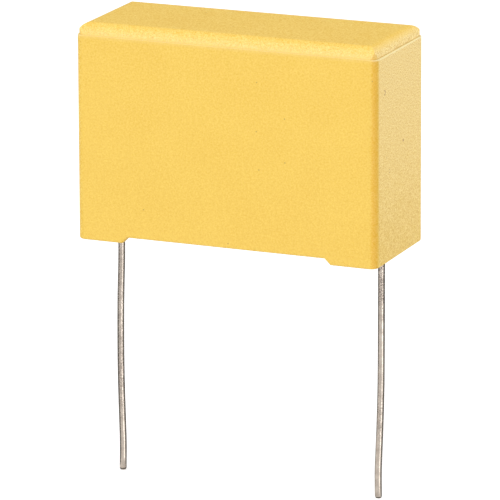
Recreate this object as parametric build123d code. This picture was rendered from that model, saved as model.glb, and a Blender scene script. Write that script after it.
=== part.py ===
from build123d import *
import os
from math import radians, tan

# Box-type film capacitor for a circuit board. Millimetres.
# The origin is on the seating plane, which is the underside of the case's feet,
# midway between the two leads. +X runs along the lead pitch, +Z towards the closed top.

# Leads
lead_pitch = 27.5          # between the two wire axes
wire_diameter = 0.7
free_length_left = 25.15   # from the seating plane to the cut tip
free_length_right = 24.8
tip_run = 2.6              # last run of each wire, above its tip
tip_bevels = [(0.2, 0.08), (0.06, 0.12)]  # (along the wire, inwards): they round the cut tip
board_stretch = 1.6        # at least this run below the seating plane is straight
arc_share = 0.45           # share of a run that the arc at its end may take
weld_length = 9.0          # run of the wire along the end contact
weld_sink = 0.1            # depth that the wire sinks into the sprayed metal

# Case
end_overhang = 1.9         # wire axis to the end face
case_depth = 12.5
case_height = 21.5
side_wall = 0.85           # thicknesses at the open rim
end_wall = 0.85
top_wall = 1.0
outer_draft = 0.15         # degrees
inner_draft = 0.3
upright_edge_radius = 0.8
crown_height = 1.15        # closed top above the parting line
crown_radius = 1.3         # round between the closed top and the long walls
crown_end_radius = 1.05
crown_step = 0.07          # ledge at the parting line, below the crown's long sides
crown_end_step = 0.17
inner_corner_radius = 0.5
ceiling_bevel = 0.3        # strengthens the corner between the walls and the closed top
rim_edge_radius = 0.2

# Feet: the long walls stop short of the seating plane between them
relief_length = 20.6
relief_height = 0.6
relief_ramp = 45.0         # degrees

# Ribs that centre the winding between the long walls
rib_width = 0.8
rib_spacing = 15.0
rib_start = 5.0            # above the seating plane
rib_ramp = 1.0

# Filling
resin_recess = 0.4         # below the lowest part of the rim
meniscus_climb = 0.2       # how far the resin climbs the walls and the wires
meniscus_edge = 0.04       # blunt edge of resin left at the end of the climb
resin_cover = 1.3          # resin over the winding at the open side
top_gap = 0.6              # resin between the winding and the closed top
side_gap = 0.6             # resin between the winding and each long wall, at the rim
spray_thickness = 0.65
spray_edge = 0.2

overrun = 1.0              # how far a cut passes beyond the material
hair = 0.001               # for sorting edges by their place

# Positions that follow from the sizes above
case_length = lead_pitch + 2 * end_overhang
wire_radius = wire_diameter / 2
parting_height = case_height - crown_height
resin_level = relief_height + resin_recess
ceiling = case_height - top_wall
spray_face = lead_pitch / 2 - wire_radius + weld_sink
film_half_width = spray_face - spray_thickness
winding_depth = case_depth - 2 * (side_wall + side_gap)
winding_bottom = resin_level + resin_cover
winding_top = ceiling - top_gap
weld_top = winding_bottom + weld_length
first_bend = board_stretch / (1 - arc_share)

# Corners of each wire's centre line: (sideways from the wire's own axis, depth below the
# seating plane). A wire straightened by hand keeps slight bends.
left_bends = [
    (0, first_bend),
    (-0.17, 7.4),
    (-0.25, 14.6),
    (-0.06, free_length_left - tip_run),
    (-0.13, free_length_left),
]
right_bends = [(0, 14.4), (-0.29, free_length_right - tip_run), (-0.25, free_length_right)]


def tapered_block(length, depth, radius, bottom, top, draft):
    """Block with rounded upright edges that narrows upwards by the draft, sized at z = 0."""
    extra = -bottom * tan(radians(draft))
    outline = RectangleRounded(length + 2 * extra, depth + 2 * extra, radius + extra)
    return Pos(0, 0, bottom) * extrude(outline, amount=top - bottom, taper=draft)


def arched_profile(width, radius):
    """Upright outline of the crown: rounded upper corners above a block that stands wider."""
    shoulder = Pos(0, case_height - radius)
    arch = shoulder * Rectangle(width, 2 * radius)
    arch = fillet(arch.vertices().sort_by(Axis.Y)[-2:], radius)
    return arch + shoulder * Rectangle(2 * width, crown_height, align=(Align.CENTER, Align.MAX))


def make_crown():
    """Closed top above the parting line: its rounded edges meet in mitres at the corners."""
    lean = parting_height * tan(radians(outer_draft))
    length = case_length - 2 * (lean + crown_end_step)
    depth = case_depth - 2 * (lean + crown_step)
    plan = RectangleRounded(length, depth, upright_edge_radius - lean - crown_step)
    crown = Pos(0, 0, parting_height) * extrude(plan, amount=crown_height + overrun)
    long_arch = arched_profile(length, crown_end_radius)
    crown = crown & extrude(Plane.XZ * long_arch, amount=depth, both=True)
    cross_arch = arched_profile(depth, crown_radius)
    return crown & extrude(Plane.YZ * cross_arch, amount=length, both=True)


def make_cavity():
    """Space inside the walls, open below the rim."""
    length = case_length - 2 * end_wall
    depth = case_depth - 2 * side_wall
    block = tapered_block(length, depth, inner_corner_radius, -overrun, ceiling, inner_draft)
    corner_radius = inner_corner_radius - ceiling * tan(radians(inner_draft))
    bevel = min(ceiling_bevel, 0.9 * corner_radius)  # leaves some of the corner's round
    return chamfer(block.faces().sort_by(Axis.Z)[-1].edges(), bevel)


def make_relief():
    """Cut that leaves a foot at each end of the long walls."""
    half = relief_length / 2
    spread = 2 * relief_height / tan(radians(relief_ramp))
    profile = Polyline(
        (-half, relief_height),
        (half, relief_height),
        (half + spread, -relief_height),
        (-half - spread, -relief_height),
        close=True,
    )
    return extrude(Plane.XZ * make_face(profile), amount=case_depth, both=True)


def make_rib(side, x):
    """Upright rib on a long wall, with a ramp that guides the winding in."""
    crest = winding_depth / 2
    root = case_depth / 2 - side_wall / 2
    profile = Polyline(
        (side * crest, rib_start + rib_ramp),
        (side * crest, ceiling + top_wall / 2),
        (side * root, ceiling + top_wall / 2),
        (side * root, rib_start),
        close=True,
    )
    return Pos(x, 0, 0) * extrude(Plane.YZ * make_face(profile), amount=rib_width / 2, both=True)


def is_relief_edge(edge):
    inside = abs(edge.center().X) < case_length / 2 - upright_edge_radius
    return inside and edge.bounding_box().size.Y > case_depth / 2


def make_case(cavity):
    body = tapered_block(
        case_length, case_depth, upright_edge_radius, 0, parting_height, outer_draft
    )
    body = body - make_relief()
    rim = body.edges().filter_by(lambda edge: edge.bounding_box().max.Z < relief_height + hair)
    # the relief's own edges run from wall to wall and stay sharp
    rim = rim.filter_by(lambda edge: not is_relief_edge(edge))
    body = fillet(rim, rim_edge_radius)
    shell = body + make_crown() - cavity
    for side in (-1, 1):
        for x in (-rib_spacing / 2, rib_spacing / 2):
            shell = shell + make_rib(side, x)
    return shell


def obround_slab(length, edge):
    """Flat-pressed roll lying along X, with the edge at its +X end bevelled by the given amount."""
    outline = SlotOverall(winding_top - winding_bottom, winding_depth, rotation=90)
    slab = extrude(Plane.YZ * outline, amount=length / 2, both=True)
    if edge:
        slab = chamfer(slab.faces().sort_by(Axis.X)[-1].edges(), edge)
    return Pos(0, 0, (winding_top + winding_bottom) / 2) * slab


def make_winding():
    return obround_slab(2 * film_half_width, 0)


def make_spray(side, lead):
    """Sprayed metal over one end of the winding, grooved where the wire is welded on."""
    layer = Pos(film_half_width + spray_thickness / 2, 0, 0) * obround_slab(
        spray_thickness, spray_edge
    )
    return (layer if side > 0 else mirror(layer, Plane.YZ)) - lead


def lead_axis(side, bends):
    """Centre line of one wire, from its weld down to its tip."""
    x = side * lead_pitch / 2
    points = [(x, 0, 0)] + [(x + sideways, 0, -depth) for sideways, depth in bends]
    runs = [(Vector(b) - Vector(a)).length for a, b in zip(points, points[1:])]
    radii = []
    for i in range(1, len(points) - 1):
        into = Vector(points[i]) - Vector(points[i - 1])
        out = Vector(points[i + 1]) - Vector(points[i])
        half_turn = radians(into.get_angle(out)) / 2
        radii.append(arc_share * min(runs[i - 1], runs[i]) / tan(half_turn))
    print("bend radii", [round(radius, 1) for radius in radii])
    embedded = Line((x, 0, weld_top), (x, 0, 0))
    return Wire([embedded, *FilletPolyline(*points, radius=radii).edges()])


def make_lead(side, bends):
    axis = lead_axis(side, bends)
    start = Plane(axis @ 0, z_dir=axis % 0)
    # the faces stay split at the seating plane, where the free wire begins
    wire = sweep(start * Circle(wire_radius), path=axis, clean=False)
    for along, inwards in tip_bevels:
        tip = wire.faces().sort_by(Axis.Z)[0]
        wire = chamfer(tip.edges(), inwards, along, reference=tip)
    return wire


def make_resin(cavity, case, pieces):
    """Casting resin that fills the case round everything in it."""
    inset = meniscus_edge + resin_level * tan(radians(inner_draft))
    blunt_radius = wire_radius + meniscus_edge
    gap = end_overhang - blunt_radius - end_wall - inset
    climb = min(meniscus_climb, 0.45 * gap)  # the climbs on wall and wire don't meet
    reach = resin_level - climb
    limit = Box(2 * case_length, 2 * case_depth, case_height)
    fill = (cavity & Pos(0, 0, reach + case_height / 2) * limit) - case
    length = case_length - 2 * (end_wall + inset)
    depth = case_depth - 2 * (side_wall + inset)
    outline = RectangleRounded(length, depth, inner_corner_radius - inset)
    for side in (-1, 1):
        outline = outline - Pos(side * lead_pitch / 2, 0) * Circle(blunt_radius)
    pool = Pos(0, 0, reach - climb) * extrude(outline, amount=2 * climb)
    pool = chamfer(pool.faces().sort_by(Axis.Z)[-1].edges(), climb)
    fill = fill - pool
    for piece in pieces:
        fill = fill - piece
    return fill


cavity = make_cavity()
case = make_case(cavity)
lead_left = make_lead(-1, left_bends)
lead_right = make_lead(1, right_bends)
film_winding = make_winding()
end_spray_left = make_spray(-1, lead_left)
end_spray_right = make_spray(1, lead_right)
inside = [film_winding, end_spray_left, end_spray_right, lead_left, lead_right]
potting_resin = make_resin(cavity, case, inside)

parts = {
    "case": case,
    "potting_resin": potting_resin,
    "film_winding": film_winding,
    "end_spray_left": end_spray_left,
    "end_spray_right": end_spray_right,
    "lead_left": lead_left,
    "lead_right": lead_right,
}
os.makedirs("parts", exist_ok=True)
for name, shape in parts.items():
    export_step(shape, "parts/" + name + ".step")
    print(name, "volume", round(shape.volume, 2), "solids", len(shape.solids()))
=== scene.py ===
import math

import bmesh
import bpy
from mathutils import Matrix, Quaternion, Vector


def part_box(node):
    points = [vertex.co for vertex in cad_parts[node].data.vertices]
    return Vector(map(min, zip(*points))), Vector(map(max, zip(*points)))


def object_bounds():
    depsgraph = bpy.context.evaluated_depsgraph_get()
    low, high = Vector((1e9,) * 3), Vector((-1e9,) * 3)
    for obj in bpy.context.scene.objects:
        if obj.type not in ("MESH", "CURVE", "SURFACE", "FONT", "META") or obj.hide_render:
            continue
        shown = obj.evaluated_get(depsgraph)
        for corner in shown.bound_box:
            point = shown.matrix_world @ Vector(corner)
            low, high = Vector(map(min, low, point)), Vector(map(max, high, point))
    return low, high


# A box-type film capacitor on a white studio floor. Metres, in the frame of the CAD part:
# the seating plane is z = 0, the two leads stand side by side along x and the closed top looks up.

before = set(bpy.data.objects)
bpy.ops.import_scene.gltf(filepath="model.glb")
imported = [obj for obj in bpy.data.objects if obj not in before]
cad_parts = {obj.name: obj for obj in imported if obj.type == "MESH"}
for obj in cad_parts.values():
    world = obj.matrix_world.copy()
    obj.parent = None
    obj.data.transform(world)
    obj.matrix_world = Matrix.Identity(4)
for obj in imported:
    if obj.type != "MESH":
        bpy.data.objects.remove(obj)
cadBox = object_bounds()
mm = 0.001
floorHeight = cadBox[0].z
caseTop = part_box("case")[1].z / mm             # mm above the seating plane
print("frame loaded:", sorted(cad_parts))


def srgb(code):                                # "#RRGGBB" to linear RGBA
    parts = [int(code[i:i + 2], 16) / 255 for i in (1, 3, 5)]
    linear = [c / 12.92 if c <= 0.04045 else ((c + 0.055) / 1.055) ** 2.4 for c in parts]
    return (*linear, 1)


def addNode(tree, kind, links=None, values=None, **settings):
    # settings are the node's own properties; links and values go to its sockets
    node = tree.nodes.new(kind)
    for name, value in settings.items():
        setattr(node, name, value)
    for socket, value in (values or {}).items():
        node.inputs[socket].default_value = value
    for socket, source in (links or {}).items():
        tree.links.new(source, node.inputs[socket])
    return node


def newMaterial(name):
    material = bpy.data.materials.new(name)
    material.use_nodes = True
    material.node_tree.nodes.clear()
    return material, material.node_tree


def placeInMm(tree):                           # where on the object, in mm, to lay patterns by
    here = addNode(tree, "ShaderNodeTexCoord")
    place = addNode(tree, "ShaderNodeVectorMath", {0: here.outputs["Object"]}, {"Scale": 1 / mm},
                    operation="SCALE")
    return place.outputs["Vector"]


def dress(nodeNames, material):                # CAD nodes keep their shape and get a real finish
    for name in nodeNames:
        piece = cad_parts[name]
        piece.data.materials.clear()
        piece.data.materials.append(material)


cameraLook = {
    "azimuth": 23.038,         # degrees round from straight in front, towards the right end
    "elevation": 14.974,       # degrees above the horizon
    "roll": -0.235,            # degrees
    "distance": 463.4,         # mm from the aim point
    "lens": 342.46,            # mm
    "sensor": 36,              # mm
    "aim": (-0.019, 0, -1.101),                # mm
    "clip": (10, 50000),       # mm, nearest and farthest that is drawn
}


def outward(azimuth, elevation):               # unit vector from the object towards that side
    a, e = math.radians(azimuth), math.radians(elevation)
    return Vector((math.sin(a) * math.cos(e), -math.cos(a) * math.cos(e), math.sin(e)))


def makeCamera(look):
    camera = bpy.data.objects.new("camera", bpy.data.cameras.new("camera"))
    bpy.context.scene.collection.objects.link(camera)
    back = outward(look["azimuth"], look["elevation"])
    camera.location = (Vector(look["aim"]) + back * look["distance"]) * mm
    camera.rotation_mode = "QUATERNION"
    level = (-back).to_track_quat("-Z", "Y")
    camera.rotation_quaternion = level @ Quaternion((0, 0, 1), math.radians(look["roll"]))
    camera.data.sensor_width = look["sensor"]
    camera.data.lens = look["lens"]
    camera.data.clip_start, camera.data.clip_end = (reach * mm for reach in look["clip"])
    bpy.context.scene.camera = camera
    bpy.context.scene.view_settings.view_transform = "Standard"


makeCamera(cameraLook)
print("camera placed")


studio = {
    "ambient": 0.74,           # level that the white surroundings give to a matt surface
    "floorColour": "#E6E6E6",
    "floorLift": 0.47,         # brings the floor up to white in view and in gloss, not for diffuse light
    "floorSize": 12.0,         # m
    "floorCells": 8,           # squares along each side
    # level: what a surface that faces the lamp gets from it; matt: left out of gloss; distance and size in m
    "lamps": {
        "keySoftbox": {"azimuth": -8, "elevation": 22, "distance": 0.6, "size": 0.35, "level": 0.235},
        "topSoftbox": {"azimuth": -8, "elevation": 74, "distance": 0.6, "size": 0.30, "level": 0.275},
        "endSoftbox": {"azimuth": 122, "elevation": 6, "distance": 0.6, "size": 0.40, "level": 0.27,
                       "matt": True},
    },
    # cards round the object, seen only in its reflections: they draw the edges of bright metal; sizes in mm
    "cardLift": 0.1,           # mm above the floor
    "cardSteps": 24,           # straight pieces in a round edge
    # toLeft and toRight: y of the wire card's front corners at either side, in reaches
    "wireCard": {"gap": 0.45, "reach": 92, "toLeft": -1.2, "toRight": 0.0, "level": 0.38},  # on the floor; painted shade that only gloss shows
    "wireStrip": {"azimuth": 58, "distance": 4, "width": 1.1, "level": 4.5},                # one by each wire
    "footShadowCard": {"radius": 0.8, "level": 0.25},                                             # painted shadow under each wire: a dark disc that only gloss shows
    "floorCard": {"start": 66, "end": 134, "near": 95, "far": 190, "level": 0.03},          # part of a ring
    "standingCards": {
        "backCard": {"azimuth": 203, "distance": 350, "width": 380, "height": 330, "level": 0.35},
        "rightCard": {"azimuth": 100, "distance": 230, "width": 280, "height": 260, "level": 0.07},
        "leftCard": {"azimuth": 262, "distance": 230, "width": 280, "height": 260, "level": 0.07},
    },
}


def seenByEye(tree):                           # 1 on the rays that show a background, else 0
    path = addNode(tree, "ShaderNodeLightPath")
    seen = path.outputs["Is Camera Ray"]
    for ray in ("Is Glossy Ray", "Is Transmission Ray"):
        seen = addNode(tree, "ShaderNodeMath", {0: seen, 1: path.outputs[ray]}, operation="MAXIMUM")
        seen = seen.outputs[0]
    return seen


def addStage(name, bm, level=None):            # a level makes it a glowing card that only gloss shows
    mesh = bpy.data.meshes.new(name)
    bm.to_mesh(mesh)
    bm.free()
    piece = bpy.data.objects.new(name, mesh)
    bpy.context.scene.collection.objects.link(piece)
    if level is not None:
        material, tree = newMaterial(name)
        side = addNode(tree, "ShaderNodeNewGeometry")
        glow = addNode(tree, "ShaderNodeEmission", None, {"Color": (1, 1, 1, 1), "Strength": level})
        clear = addNode(tree, "ShaderNodeBsdfTransparent")
        oneSided = addNode(tree, "ShaderNodeMixShader",
                           {0: side.outputs["Backfacing"], 1: glow.outputs[0], 2: clear.outputs[0]})
        addNode(tree, "ShaderNodeOutputMaterial", {"Surface": oneSided.outputs[0]})
        mesh.materials.append(material)
        piece.visible_camera = False
        piece.visible_diffuse = False
        piece.visible_transmission = False
        piece.visible_shadow = False
    return piece


def makeStudio(look):
    world = bpy.data.worlds.new("whiteStudio")
    world.use_nodes = True
    bpy.context.scene.world = world
    tree = world.node_tree
    tree.nodes.clear()
    strength = addNode(tree, "ShaderNodeMapRange", {"Value": seenByEye(tree)}, {"To Min": look["ambient"]})
    sky = addNode(tree, "ShaderNodeBackground", {"Strength": strength.outputs[0]},
                  {"Color": (1, 1, 1, 1)})
    addNode(tree, "ShaderNodeOutputWorld", {"Surface": sky.outputs[0]})

    for name, lamp in look["lamps"].items():
        data = bpy.data.lights.new(name, "AREA")
        data.size = lamp["size"]
        data.energy = lamp["level"] * math.pi ** 2 * lamp["distance"] ** 2     # W
        light = bpy.data.objects.new(name, data)
        bpy.context.scene.collection.objects.link(light)
        out = outward(lamp["azimuth"], lamp["elevation"])
        light.location = out * lamp["distance"]
        light.rotation_mode = "QUATERNION"
        light.rotation_quaternion = (-out).to_track_quat("-Z", "Y")
        light.visible_camera = False
        light.visible_glossy = not lamp.get("matt")

    bm = bmesh.new()
    cells = look["floorCells"]
    bmesh.ops.create_grid(bm, x_segments=cells, y_segments=cells, size=look["floorSize"] / 2)
    floor = addStage("studioFloor", bm)
    floor.location.z = floorHeight
    material, tree = newMaterial("mattWhitePaper")
    lift = addNode(tree, "ShaderNodeMath", {0: seenByEye(tree)}, {1: look["floorLift"]},
                   operation="MULTIPLY")
    glow = addNode(tree, "ShaderNodeEmission", {"Strength": lift.outputs[0]}, {"Color": (1, 1, 1, 1)})
    paper = addNode(tree, "ShaderNodeBsdfDiffuse", None, {"Color": srgb(look["floorColour"])})
    both = addNode(tree, "ShaderNodeAddShader", {0: paper.outputs[0], 1: glow.outputs[0]})
    addNode(tree, "ShaderNodeOutputMaterial", {"Surface": both.outputs[0]})
    floor.data.materials.append(material)


def addCard(name, corners, level, height):     # a flat card; its height is where its own z = 0 lies
    bm = bmesh.new()
    bm.faces.new([bm.verts.new(corner) for corner in corners])
    addStage(name, bm, level).location.z = height


def standingCorners(card, top):                # of an upright card that faces the middle; top in m
    middle = outward(card["azimuth"], 0) * card["distance"] * mm
    across = outward(card["azimuth"] + 90, 0) * card["width"] / 2 * mm
    up = Vector((0, 0, top))
    return middle + across, middle - across, middle - across + up, middle + across + up


def makeCards(look):
    lifted = floorHeight + look["cardLift"] * mm
    steps = look["cardSteps"]

    # on the floor, from just in front of the wires to far behind them: painted shade, a dim card that only
    # gloss shows, for the floor in the object's shadow
    card = look["wireCard"]
    gap, reach = card["gap"], card["reach"]
    left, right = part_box("lead_left")[0].x / mm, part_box("lead_right")[1].x / mm
    outline = ((left - reach, card["toLeft"] * reach), (left - gap, gap), (right, gap),
               (right + reach, card["toRight"] * reach), (right + reach, reach), (left - reach, reach))
    addCard("wireCard", [Vector((x, y, 0)) * mm for x, y in outline], card["level"], lifted)

    for wire in ("lead_left", "lead_right"):
        low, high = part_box(wire)
        foot = Vector(((low.x + high.x) / 2, (low.y + high.y) / 2, 0))
        card = look["wireStrip"]
        corners = [foot + corner for corner in standingCorners(card, -floorHeight)]
        addCard(wire + "Strip", corners, card["level"], floorHeight)
        # painted shadow: a dark disc at each wire's foot, seen only in its gloss
        card = look["footShadowCard"]
        bm = bmesh.new()
        bmesh.ops.create_circle(bm, cap_ends=True, segments=steps, radius=card["radius"] * mm)
        addStage(wire + "Foot", bm, card["level"]).location = foot + Vector((0, 0, lifted))

    card = look["floorCard"]
    bm = bmesh.new()
    ring = []
    for i in range(steps + 1):
        side = outward(card["start"] + (card["end"] - card["start"]) * i / steps, 0)
        ring.append([bm.verts.new(side * card[radius] * mm) for radius in ("near", "far")])
    for (a, b), (c, d) in zip(ring, ring[1:]):
        bm.faces.new((a, b, d, c))
    addStage("floorCard", bm, card["level"]).location.z = lifted

    for name, card in look["standingCards"].items():
        addCard(name, standingCorners(card, card["height"] * mm), card["level"], floorHeight)


makeStudio(studio)
makeCards(studio)
print("studio lit")


caseLook = {
    "pigment": "#F4CE5A",
    "pigmentDeep": "#EBBF48",
    "cloudSize": 5.0,          # mm, slow drift of the pigment
    "mottleSize": 0.20,        # mm, fine mottling of the pigment
    "mottleShare": 0.8,
    "pigmentSpan": (0.31, 0.69),               # of the noise, from the one pigment to the other
    "grainSize": 0.13,         # mm, pits of the spark-eroded mould
    "grainDepth": 0.004,       # mm
    "grainGlint": "#E7FFDC",   # painted glint that its peaks add and painted shade that its pits take away
    "grainShade": 0.5,         # how strong that painted glint and shade is on the top and the rounds
    "grainShadeEnds": 1.1,     # stronger on the two ends,
    "grainShadeFoot": 0.75,    # less so at their feet
    "grainShadeBig": 0.15,     # and weaker on the two big faces
    "bigFacing": (0.9, 1.0),   # |y| of the normal, from a round to a big face
    "edgeShadeColour": "#EBB63B",  # painted shade: a deeper orange on the upright rounds of the right end
    "edgeShadeShare": 0.85,
    "edgeShadeTurn": (0.2, 0.45),   # x times |y| of the normal, from none of that painted shade to all
    "edgeCalm": 0.6,           # share of the grain's painted light and shade taken off there
    "roughness": (0.37, 0.47),
    "roughnessSpan": (0.3, 0.7),               # of the mottling
    "ior": 1.57,
    "bloom": "#FBE7B0",        # painted sheen: a pale wash that stands for gloss seen at a slant
    "sheenEnds": 0.30,         # at the top of the ends
    "sheenFoot": 0.11,         # at their feet
    "sheenCrown": 0.22,
    "sheenBoth": 0.45,         # share of the crown's painted sheen that the crown's ends get on top
    "sheenSlant": (0.92, 0.45),                # z of the normal, from no painted sheen to all
    "sheenFlank": (0.3, 0.1),                  # |y| of the normal, from no painted sheen on the ends to all
    "sheenRise": (-0.35, 0.1),                 # mm above the parting line, where the crown's painted sheen sets in
    "bloomPatches": (0.7, 1.3),                # thinner and thicker with the mottling
    "sheenPatchSpan": (0.35, 0.65),
    "speckSpacing": 3.0,       # mm
    "speckSize": 0.07,         # mm, radius
    "speckShare": 0.12,        # of the cells hold a burnt speck
    "speckStrength": 0.6,
    "speckColour": "#A9792F",
    "markColour": "#B0701C",
    "markStrength": 0.9,
    "markFacing": 0.9,         # least x of the normal for a mark
    # knocks on the right end: half rings, or dots where the radius is 0 (y, z, radius, half width; mm)
    "marks": [(-4.1, 16.85, 0.2, 0.06), (0.8, 11.15, 0, 0.13), (-2.8, 9.1, 0, 0.06), (-2.8, 8.8, 0, 0.07)],
    "crownHeight": 1.15,       # mm from the parting line to the closed top
    # bands at the parting line, painted light and shade: (colour, lower and upper edge in mm above it,
    # strength)
    "bands": [("#FFF2BC", -0.09, 0.005, 0.75),                 # painted highlight on the lip
              ("#A8822F", 0.005, 0.08, 0.5)],                  # painted shade in the corner above it
}


def mouldedPolyester(look):
    # Glass-filled polyester, injection moulded in a spark-eroded cavity: a satin skin with a fine
    # even grain and a lightly clouded pigment. Painted into the colour: a pale sheen on the ends and
    # round the crown, shade on the upright rounds of the right end, glint and shade on the grain,
    # and a highlight and shade at the parting line.
    material, tree = newMaterial("mouldedPolyester")
    place = placeInMm(tree)
    axes = addNode(tree, "ShaderNodeSeparateXYZ", {0: place})
    facing = addNode(tree, "ShaderNodeNewGeometry")
    facing = addNode(tree, "ShaderNodeSeparateXYZ", {0: facing.outputs["Normal"]})
    endOn = addNode(tree, "ShaderNodeMath", {0: facing.outputs["X"]}, operation="ABSOLUTE").outputs[0]
    sideways = addNode(tree, "ShaderNodeMath", {0: facing.outputs["Y"]}, operation="ABSOLUTE").outputs[0]
    above = addNode(tree, "ShaderNodeMath", {0: axes.outputs["Z"]},
                    {1: caseTop - look["crownHeight"]}, operation="SUBTRACT").outputs[0]

    clouds = addNode(tree, "ShaderNodeTexNoise", {"Vector": place},
                     {"Scale": 1 / look["cloudSize"], "Detail": 3})
    mottle = addNode(tree, "ShaderNodeTexNoise", {"Vector": place},
                     {"Scale": 1 / look["mottleSize"], "Detail": 2})
    grain = addNode(tree, "ShaderNodeTexNoise", {"Vector": place},
                    {"Scale": 1 / look["grainSize"], "Detail": 1})
    blend = addNode(tree, "ShaderNodeMix", {2: clouds.outputs[0], 3: mottle.outputs[0]},
                    {0: look["mottleShare"]})
    low, high = look["pigmentSpan"]
    blend = addNode(tree, "ShaderNodeMapRange", {0: blend.outputs[0]}, {1: low, 2: high})
    colour = addNode(tree, "ShaderNodeMix", {0: blend.outputs[0]},
                     {6: srgb(look["pigment"]), 7: srgb(look["pigmentDeep"])}, data_type="RGBA").outputs[2]

    # painted shade on the upright rounds of the right end: a deeper orange
    low, high = look["edgeShadeTurn"]
    edgeShaded = addNode(tree, "ShaderNodeMath", {0: facing.outputs["X"], 1: sideways}, operation="MULTIPLY")
    edgeShaded = addNode(tree, "ShaderNodeMapRange", {0: edgeShaded.outputs[0]},
                     {1: low, 2: high, 4: look["edgeShadeShare"]})
    colour = addNode(tree, "ShaderNodeMix", {0: edgeShaded.outputs[0], 6: colour},
                     {7: srgb(look["edgeShadeColour"])}, data_type="RGBA").outputs[2]

    # the painted sheen, a pale wash on the ends and round the crown
    low, high = look["sheenSlant"]
    slant = addNode(tree, "ShaderNodeMapRange", {0: facing.outputs["Z"]}, {1: low, 2: high})
    low, high = look["sheenRise"]
    crown = addNode(tree, "ShaderNodeMapRange", {0: above}, {1: low, 2: high, 4: look["sheenCrown"]})
    low, high = look["sheenFlank"]
    flank = addNode(tree, "ShaderNodeMapRange", {0: sideways}, {1: low, 2: high})
    fade = addNode(tree, "ShaderNodeMapRange", {0: axes.outputs["Z"]},
                   {2: caseTop, 3: look["sheenFoot"], 4: look["sheenEnds"]})
    ends = addNode(tree, "ShaderNodeMath", {0: flank.outputs[0], 1: fade.outputs[0]}, operation="MULTIPLY")
    both = addNode(tree, "ShaderNodeMath", {0: crown.outputs[0], 1: flank.outputs[0]}, operation="MULTIPLY")
    bloom = addNode(tree, "ShaderNodeMath", {0: crown.outputs[0], 1: ends.outputs[0]}, operation="MAXIMUM")
    bloom = addNode(tree, "ShaderNodeMath", {0: both.outputs[0], 2: bloom.outputs[0]},
                    {1: look["sheenBoth"]}, operation="MULTIPLY_ADD")
    bloom = addNode(tree, "ShaderNodeMath", {0: bloom.outputs[0], 1: slant.outputs[0]}, operation="MULTIPLY")
    (low, high), (thin, thick) = look["sheenPatchSpan"], look["bloomPatches"]
    patchy = addNode(tree, "ShaderNodeMapRange", {0: mottle.outputs[0]}, {1: low, 2: high, 3: thin, 4: thick})
    bloom = addNode(tree, "ShaderNodeMath", {0: bloom.outputs[0], 1: patchy.outputs[0]}, operation="MULTIPLY")
    colour = addNode(tree, "ShaderNodeMix", {0: bloom.outputs[0], 6: colour},
                     {7: srgb(look["bloom"])}, data_type="RGBA").outputs[2]

    # painted light and shade on the peaks and pits of the grain
    endGrain = addNode(tree, "ShaderNodeMath", {0: flank.outputs[0], 1: slant.outputs[0]},
                       operation="MULTIPLY")
    height = addNode(tree, "ShaderNodeMapRange", {0: axes.outputs["Z"]},
                     {2: caseTop, 3: look["grainShadeFoot"], 4: look["grainShadeEnds"]})
    endGrain = addNode(tree, "ShaderNodeMath", {0: endGrain.outputs[0], 1: height.outputs[0]},
                       operation="MULTIPLY")
    low, high = look["bigFacing"]
    contrast = addNode(tree, "ShaderNodeMapRange", {0: sideways},
                       {1: low, 2: high, 3: look["grainShade"], 4: look["grainShadeBig"]})
    contrast = addNode(tree, "ShaderNodeMath", {0: contrast.outputs[0], 1: endGrain.outputs[0]},
                       operation="MAXIMUM")
    calm = addNode(tree, "ShaderNodeMath", {0: edgeShaded.outputs[0]}, {1: -look["edgeCalm"], 2: 1.0},
                   operation="MULTIPLY_ADD")
    contrast = addNode(tree, "ShaderNodeMath", {0: contrast.outputs[0], 1: calm.outputs[0]},
                       operation="MULTIPLY")
    noiseMiddle = 0.5
    shade = addNode(tree, "ShaderNodeMath", {0: grain.outputs[0]}, {1: noiseMiddle}, operation="SUBTRACT")
    shade = addNode(tree, "ShaderNodeMath", {0: shade.outputs[0], 1: contrast.outputs[0]},
                    operation="MULTIPLY")
    shade = addNode(tree, "ShaderNodeVectorMath", {"Scale": shade.outputs[0]},
                    {0: srgb(look["grainGlint"])[:3]}, operation="SCALE")
    colour = addNode(tree, "ShaderNodeVectorMath", {0: colour, 1: shade.outputs[0]},
                     operation="ADD").outputs[0]

    # burnt specks, in cells laid over the skin: x + y runs round the walls, z - y up them and over the top
    across = addNode(tree, "ShaderNodeVectorMath", {0: place}, {1: (1, 1, 0)}, operation="DOT_PRODUCT")
    upward = addNode(tree, "ShaderNodeVectorMath", {0: place}, {1: (0, -1, 1)}, operation="DOT_PRODUCT")
    skin = addNode(tree, "ShaderNodeCombineXYZ", {0: across.outputs["Value"], 1: upward.outputs["Value"]})
    cells = addNode(tree, "ShaderNodeTexVoronoi", {"Vector": skin.outputs[0]},
                    {"Scale": 1 / look["speckSpacing"]}, voronoi_dimensions="2D")
    near = addNode(tree, "ShaderNodeMath", {0: cells.outputs["Distance"]},
                   {1: look["speckSize"] / look["speckSpacing"]}, operation="LESS_THAN")
    lucky = addNode(tree, "ShaderNodeSeparateColor", {0: cells.outputs["Color"]})
    lucky = addNode(tree, "ShaderNodeMath", {0: lucky.outputs[0]}, {1: look["speckShare"]},
                    operation="LESS_THAN")
    speck = addNode(tree, "ShaderNodeMath", {0: near.outputs[0], 1: lucky.outputs[0]}, operation="MULTIPLY")
    speck = addNode(tree, "ShaderNodeMath", {0: speck.outputs[0]}, {1: look["speckStrength"]},
                    operation="MULTIPLY")
    colour = addNode(tree, "ShaderNodeMix", {0: speck.outputs[0], 6: colour},
                     {7: srgb(look["speckColour"])}, data_type="RGBA").outputs[2]

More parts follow.
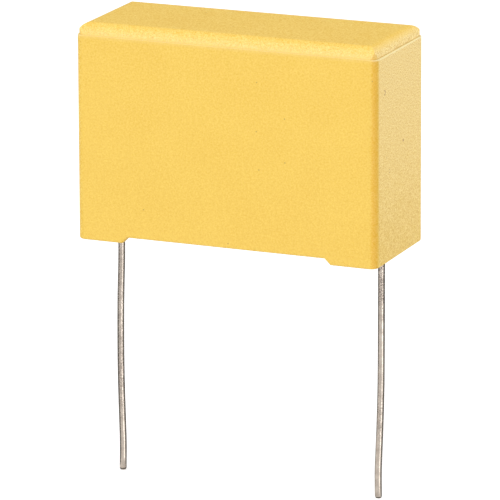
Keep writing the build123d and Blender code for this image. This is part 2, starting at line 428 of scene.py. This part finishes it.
    rightEnd = addNode(tree, "ShaderNodeMath", {0: facing.outputs["X"]}, {1: look["markFacing"]},
                       operation="GREATER_THAN")
    flat = addNode(tree, "ShaderNodeVectorMath", {0: place}, {1: (0, 1, 1)}, operation="MULTIPLY")
    for y, z, radius, halfWidth in look["marks"]:
        away = addNode(tree, "ShaderNodeVectorMath", {0: flat.outputs[0]}, {1: (0, y, z)},
                       operation="DISTANCE")
        ring = addNode(tree, "ShaderNodeMath", {0: away.outputs["Value"]}, {1: radius, 2: halfWidth},
                       operation="COMPARE")
        half = addNode(tree, "ShaderNodeMath", {0: axes.outputs["Y"]}, {1: y - halfWidth},
                       operation="GREATER_THAN")
        mark = addNode(tree, "ShaderNodeMath", {0: ring.outputs[0], 1: half.outputs[0]}, operation="MULTIPLY")
        mark = addNode(tree, "ShaderNodeMath", {0: mark.outputs[0], 1: rightEnd.outputs[0]},
                       operation="MULTIPLY")
        mark = addNode(tree, "ShaderNodeMath", {0: mark.outputs[0]}, {1: look["markStrength"]},
                       operation="MULTIPLY")
        colour = addNode(tree, "ShaderNodeMix", {0: mark.outputs[0], 6: colour},
                         {7: srgb(look["markColour"])}, data_type="RGBA").outputs[2]

    # painted highlight and painted shade at the parting line, on the ends and on faces that look up
    lipAndLedge = addNode(tree, "ShaderNodeMath", {0: endOn, 1: facing.outputs["Z"]}, operation="MAXIMUM")
    for tint, low, high, strength in look["bands"]:
        band = addNode(tree, "ShaderNodeMath", {0: above}, {1: (low + high) / 2, 2: (high - low) / 2},
                       operation="COMPARE")
        band = addNode(tree, "ShaderNodeMath", {0: band.outputs[0], 1: lipAndLedge.outputs[0]},
                       operation="MULTIPLY")
        band = addNode(tree, "ShaderNodeMath", {0: band.outputs[0]}, {1: strength}, operation="MULTIPLY")
        colour = addNode(tree, "ShaderNodeMix", {0: band.outputs[0], 6: colour},
                         {7: srgb(tint)}, data_type="RGBA").outputs[2]

    bump = addNode(tree, "ShaderNodeBump", {"Height": grain.outputs[0]},
                   {"Distance": look["grainDepth"] * mm})
    (low, high), (smooth, dull) = look["roughnessSpan"], look["roughness"]
    rough = addNode(tree, "ShaderNodeMapRange", {0: mottle.outputs[0]}, {1: low, 2: high, 3: smooth, 4: dull})
    shader = addNode(tree, "ShaderNodeBsdfPrincipled",
                     {"Base Color": colour, "Roughness": rough.outputs[0], "Normal": bump.outputs[0]},
                     {"IOR": look["ior"]})
    addNode(tree, "ShaderNodeOutputMaterial", {"Surface": shader.outputs[0]})
    return material


dress(["case"], mouldedPolyester(caseLook))
print("case dressed")


wireLook = {
    "tin": "#B7ADA2",
    "tinDull": "#A1978D",      # where the tin has oxidised
    "blotchSize": 0.7,         # mm
    "blotchSpan": (0.35, 0.65),                # of the noise, from dull to bright
    "drawSize": 0.06,          # mm between the die's drawing lines
    "drawLength": 2.5,         # mm, how long one line runs
    "drawDepth": 0.002,        # mm
    "pitSize": 0.12,           # mm
    "pitDepth": 0.045,         # mm, where the tin froze rough
    "pitDark": "#6A5C56",
    "pitShare": 0.85,
    "pitSpan": (0.48, 0.56),   # of the noise, from smooth tin to a pit
    "pitSpread": 9.0,          # mm, how far rough and smooth stretches lie apart
    "pitSpreadSpan": (0.45, 0.6),              # of the noise, from a smooth stretch to a rough one
    "pitLeast": 0.1,           # share of the pits that a smooth stretch keeps
    "pitSeed": 4.0,
    "roughness": (0.26, 0.14),                 # dull, bright
}


def tinnedCopper(look):
    # Copper wire, drawn and hot-tinned: grey satin metal with long fine lines, dull blotches
    # and small pits that glitter.
    material, tree = newMaterial("tinnedCopper")
    place = placeInMm(tree)
    low, high = look["blotchSpan"]
    dull, bright = look["roughness"]
    blotch = addNode(tree, "ShaderNodeTexNoise", {"Vector": place},
                     {"Scale": 1 / look["blotchSize"], "Detail": 4})
    spread = addNode(tree, "ShaderNodeMapRange", {0: blotch.outputs[0]}, {1: low, 2: high})
    colour = addNode(tree, "ShaderNodeMix", {0: spread.outputs[0]},
                     {6: srgb(look["tinDull"]), 7: srgb(look["tin"])}, data_type="RGBA")
    rough = addNode(tree, "ShaderNodeMapRange", {0: blotch.outputs[0]}, {1: low, 2: high, 3: dull, 4: bright})
    along = addNode(tree, "ShaderNodeVectorMath", {0: place},
                    {1: (1, 1, look["drawSize"] / look["drawLength"])}, operation="MULTIPLY")
    lines = addNode(tree, "ShaderNodeTexNoise", {"Vector": along.outputs[0]}, {"Scale": 1 / look["drawSize"]})

    pits = addNode(tree, "ShaderNodeTexNoise", {"Vector": place}, {"Scale": 1 / look["pitSize"], "Detail": 1})
    stretch = addNode(tree, "ShaderNodeTexNoise", {"Vector": place},
                      {"Scale": 1 / look["pitSpread"], "Detail": 0, "W": look["pitSeed"]},
                      noise_dimensions="4D")
    low, high = look["pitSpreadSpan"]
    stretch = addNode(tree, "ShaderNodeMapRange", {0: stretch.outputs[0]},
                      {1: low, 2: high, 3: look["pitLeast"]})
    low, high = look["pitSpan"]
    pitted = addNode(tree, "ShaderNodeMapRange", {0: pits.outputs[0]}, {1: low, 2: high, 4: look["pitShare"]})
    pitted = addNode(tree, "ShaderNodeMath", {0: pitted.outputs[0], 1: stretch.outputs[0]},
                     operation="MULTIPLY")
    colour = addNode(tree, "ShaderNodeMix", {0: pitted.outputs[0], 6: colour.outputs[2]},
                     {7: srgb(look["pitDark"])}, data_type="RGBA")

    pits = addNode(tree, "ShaderNodeMath", {0: pits.outputs[0], 1: stretch.outputs[0]}, operation="MULTIPLY")
    drawn = addNode(tree, "ShaderNodeBump", {"Height": lines.outputs[0]},
                    {"Distance": look["drawDepth"] * mm})
    rutted = addNode(tree, "ShaderNodeBump", {"Height": pits.outputs[0], "Normal": drawn.outputs[0]},
                     {"Distance": look["pitDepth"] * mm}, invert=True)
    shader = addNode(tree, "ShaderNodeBsdfPrincipled",
                     {"Base Color": colour.outputs[2], "Roughness": rough.outputs[0],
                      "Normal": rutted.outputs[0]}, {"Metallic": 1.0})
    addNode(tree, "ShaderNodeOutputMaterial", {"Surface": shader.outputs[0]})
    return material


dress(["lead_left", "lead_right"], tinnedCopper(wireLook))
print("wires dressed")


resinLook = {
    "amber": "#DFB055",
    "amberDeep": "#C99538",
    "cloudSize": 3.0,          # mm
    "rippleSize": 2.2,         # mm, slow wave left as the resin cured
    "rippleDepth": 0.02,       # mm
    "bubbleSpacing": 1.3,      # mm
    "bubbleSize": 0.11,        # mm, radius
    "bubbleDepth": 0.05,       # mm
    "roughness": 0.24,
    "ior": 1.54,
}


def castEpoxy(look):
    # Filled epoxy poured into the open box and cured: a self-levelled, half-gloss surface with
    # slow ripples and the odd burst bubble.
    material, tree = newMaterial("castEpoxy")
    place = placeInMm(tree)
    clouds = addNode(tree, "ShaderNodeTexNoise", {"Vector": place},
                     {"Scale": 1 / look["cloudSize"], "Detail": 4})
    colour = addNode(tree, "ShaderNodeMix", {0: clouds.outputs[0]},
                     {6: srgb(look["amber"]), 7: srgb(look["amberDeep"])}, data_type="RGBA")
    ripple = addNode(tree, "ShaderNodeTexNoise", {"Vector": place},
                     {"Scale": 1 / look["rippleSize"], "Detail": 1})
    waved = addNode(tree, "ShaderNodeBump", {"Height": ripple.outputs[0]},
                    {"Distance": look["rippleDepth"] * mm})
    cells = addNode(tree, "ShaderNodeTexVoronoi", {"Vector": place}, {"Scale": 1 / look["bubbleSpacing"]})
    cup = addNode(tree, "ShaderNodeMapRange", {0: cells.outputs["Distance"]},
                  {2: look["bubbleSize"] / look["bubbleSpacing"]}, interpolation_type="SMOOTHSTEP")
    cupped = addNode(tree, "ShaderNodeBump", {"Height": cup.outputs[0], "Normal": waved.outputs[0]},
                     {"Distance": look["bubbleDepth"] * mm})
    shader = addNode(tree, "ShaderNodeBsdfPrincipled",
                     {"Base Color": colour.outputs[2], "Normal": cupped.outputs[0]},
                     {"Roughness": look["roughness"], "IOR": look["ior"]})
    addNode(tree, "ShaderNodeOutputMaterial", {"Surface": shader.outputs[0]})
    return material


dress(["potting_resin"], castEpoxy(resinLook))
print("resin dressed")


sprayLook = {
    "zinc": "#8E8F90",
    "zincDark": "#6A6B6D",
    "splatSize": 0.15,         # mm, frozen droplets
    "splatDepth": 0.05,        # mm
    "roughness": 0.7,
}


def sprayedZinc(look):
    # Zinc sprayed from an electric arc onto the ends of the roll: a dull grey crust of flattened
    # droplets.
    material, tree = newMaterial("sprayedZinc")
    place = placeInMm(tree)
    cells = addNode(tree, "ShaderNodeTexVoronoi", {"Vector": place}, {"Scale": 1 / look["splatSize"]})
    colour = addNode(tree, "ShaderNodeMix", {0: cells.outputs["Distance"]},
                     {6: srgb(look["zinc"]), 7: srgb(look["zincDark"])}, data_type="RGBA")
    crust = addNode(tree, "ShaderNodeBump", {"Height": cells.outputs["Distance"]},
                    {"Distance": look["splatDepth"] * mm}, invert=True)
    shader = addNode(tree, "ShaderNodeBsdfPrincipled",
                     {"Base Color": colour.outputs[2], "Normal": crust.outputs[0]},
                     {"Metallic": 1.0, "Roughness": look["roughness"]})
    addNode(tree, "ShaderNodeOutputMaterial", {"Surface": shader.outputs[0]})
    return material


dress(["end_spray_left", "end_spray_right"], sprayedZinc(sprayLook))


filmLook = {
    "metal": "#B4B6B9",
    "film": "#D8D6CE",
    "turnSpacing": 0.075398,   # mm, drawn coarser than the real 0.01 mm film so that the turns show
    "turnWander": 0.4,         # how far the turns stray from straight
    "metallic": 0.8,           # the film shows through its thin metal
    "roughness": 0.32,
}


def metallisedFilm(look):
    # Polypropylene film with a vapour-deposited metal skin, wound and pressed flat: silvery, with
    # fine turns.
    material, tree = newMaterial("metallisedFilm")
    wavesPerUnit = 10 / math.pi                # of the wave texture at a scale of 1
    turns = addNode(tree, "ShaderNodeTexWave", {"Vector": placeInMm(tree)},
                    {"Scale": 1 / (wavesPerUnit * look["turnSpacing"]), "Distortion": look["turnWander"]},
                    bands_direction="Y")
    colour = addNode(tree, "ShaderNodeMix", {0: turns.outputs[0]},
                     {6: srgb(look["metal"]), 7: srgb(look["film"])}, data_type="RGBA")
    shader = addNode(tree, "ShaderNodeBsdfPrincipled", {"Base Color": colour.outputs[2]},
                     {"Metallic": look["metallic"], "Roughness": look["roughness"]})
    addNode(tree, "ShaderNodeOutputMaterial", {"Surface": shader.outputs[0]})
    return material


dress(["film_winding"], metallisedFilm(filmLook))
print("inner pieces dressed")
